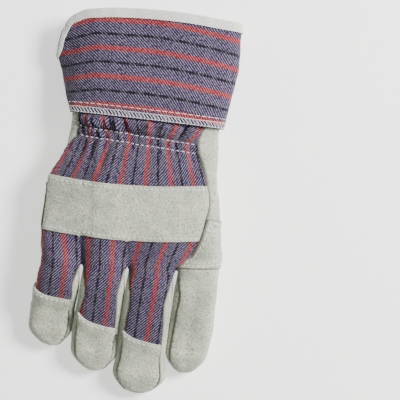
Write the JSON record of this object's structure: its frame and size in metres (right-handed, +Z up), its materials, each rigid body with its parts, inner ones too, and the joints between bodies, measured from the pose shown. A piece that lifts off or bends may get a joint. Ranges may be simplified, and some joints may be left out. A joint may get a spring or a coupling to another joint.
{
  "type": "patch palm work glove",
  "caption": "Right-hand leather work glove with a patched palm, striped canvas back, leather knuckle strap and flared safety cuff, lying palm down with its thumb folded under",
  "frame": {"origin": "the middle of the underside, on the surface that the glove lies on", "axes": "+Y from the fingertips to the cuff, +X to the thumb side, +Z up through the back of the hand"},
  "size_m": [0.1476, 0.2688, 0.0382],
  "materials": {
    "leather": "light grey split leather, suede nap",
    "canvas": "blue twill with red and black stripes",
    "binding": "off-white cotton tape"
  },
  "bodies": {
    "root": {"palm_panel": "leather", "pinky_front": "leather", "ring_front": "leather", "middle_front": "leather", "index_finger": "leather", "palm_patch": "leather", "knuckle_strap": "leather", "pinky_tip": "leather", "ring_tip": "leather", "middle_tip": "leather", "fourchette_pinky_ring": "leather", "fourchette_ring_middle": "leather", "fourchette_middle_index": "leather", "thumb": "leather", "pulse_patch": "leather", "back_panel": "canvas", "finger_backs": "canvas", "cuff_shell": "canvas", "cuff_binding": "binding"}
  },
  "joints": []
}
